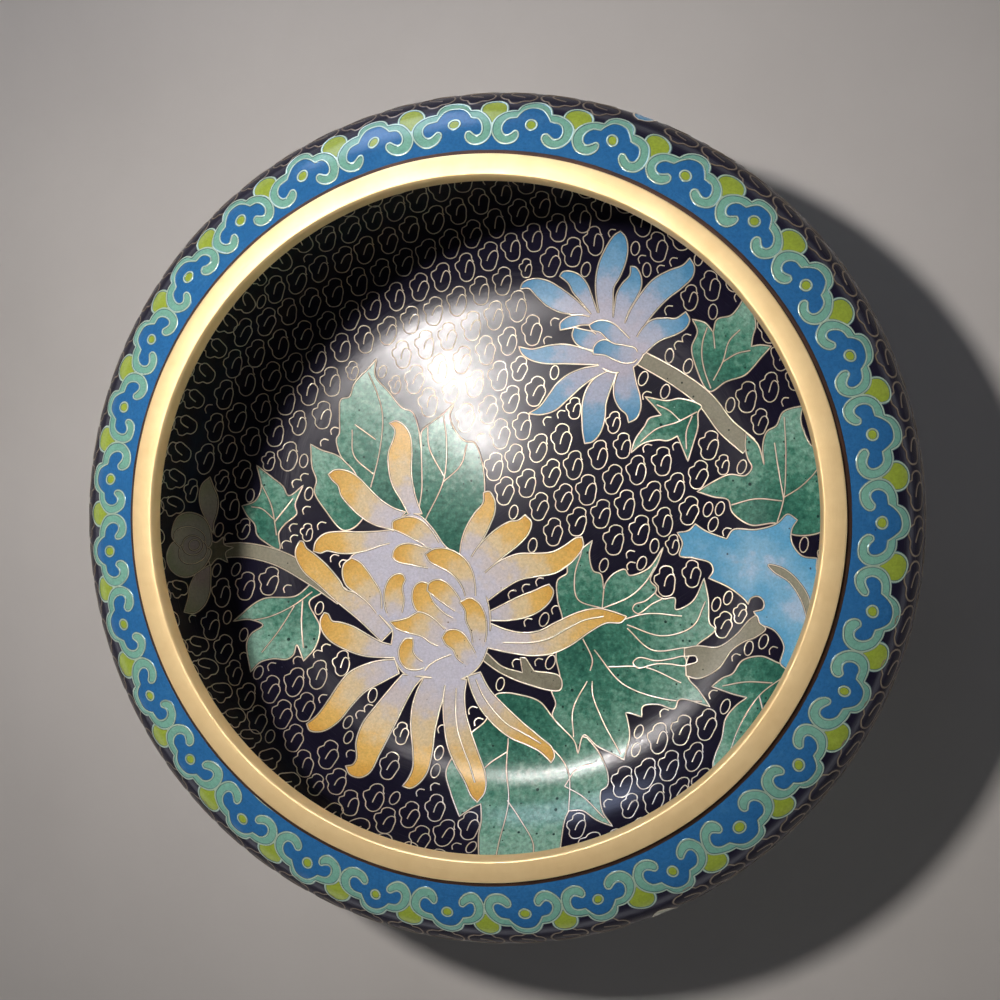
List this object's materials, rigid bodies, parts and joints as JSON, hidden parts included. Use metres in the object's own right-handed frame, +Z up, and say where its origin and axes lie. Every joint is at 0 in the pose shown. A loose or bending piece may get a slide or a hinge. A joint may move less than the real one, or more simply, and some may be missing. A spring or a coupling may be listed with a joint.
{
  "type": "cloisonne cachepot",
  "caption": "Squat round enamelled copper bowl with a turned-in shoulder, wide gilt mouth band and low foot ring, made to hold a plant pot or water.",
  "frame": {"origin": "on the table plane under the foot ring, where the bowl's axis meets it", "axes": "+Z up along the bowl's axis of revolution; +X and +Y lie in the table plane"},
  "size_m": [0.203, 0.203, 0.084],
  "materials": {
    "black_ground_enamel": "polished fired enamel, near black, with fine cloud wires",
    "blue_enamel": "polished fired enamel, mid blue field of the border",
    "teal_enamel": "polished fired enamel, soft blue-green scrolls",
    "lime_enamel": "polished fired enamel, yellow-green lobes and dots",
    "leaf_enamel": "polished fired enamel, mottled leaf green",
    "stem_enamel": "polished fired enamel, grey olive",
    "gold_petal_enamel": "polished fired enamel, lilac white running to amber at the tips",
    "blue_petal_enamel": "polished fired enamel, pale lilac running to sky blue at the tips",
    "white_petal_enamel": "polished fired enamel, warm white",
    "rock_enamel": "polished fired enamel, sky blue with pale patches",
    "underside_enamel": "plain fired counter-enamel, deep turquoise blue",
    "cloison_wire": "gilt flat wire polished flush with the enamel",
    "gilt_mouth": "satin gilt copper, fine turning marks, small dents and rubs",
    "gilt_foot": "satin gilt copper, worn where it stands",
    "tarnished_seam": "dark tarnished copper line where enamel meets the gilt"
  },
  "bodies": {
    "root": {"enamelled_body": "black_ground_enamel", "mouth_ring": "gilt_mouth", "foot_ring": "gilt_foot"}
  },
  "joints": []
}
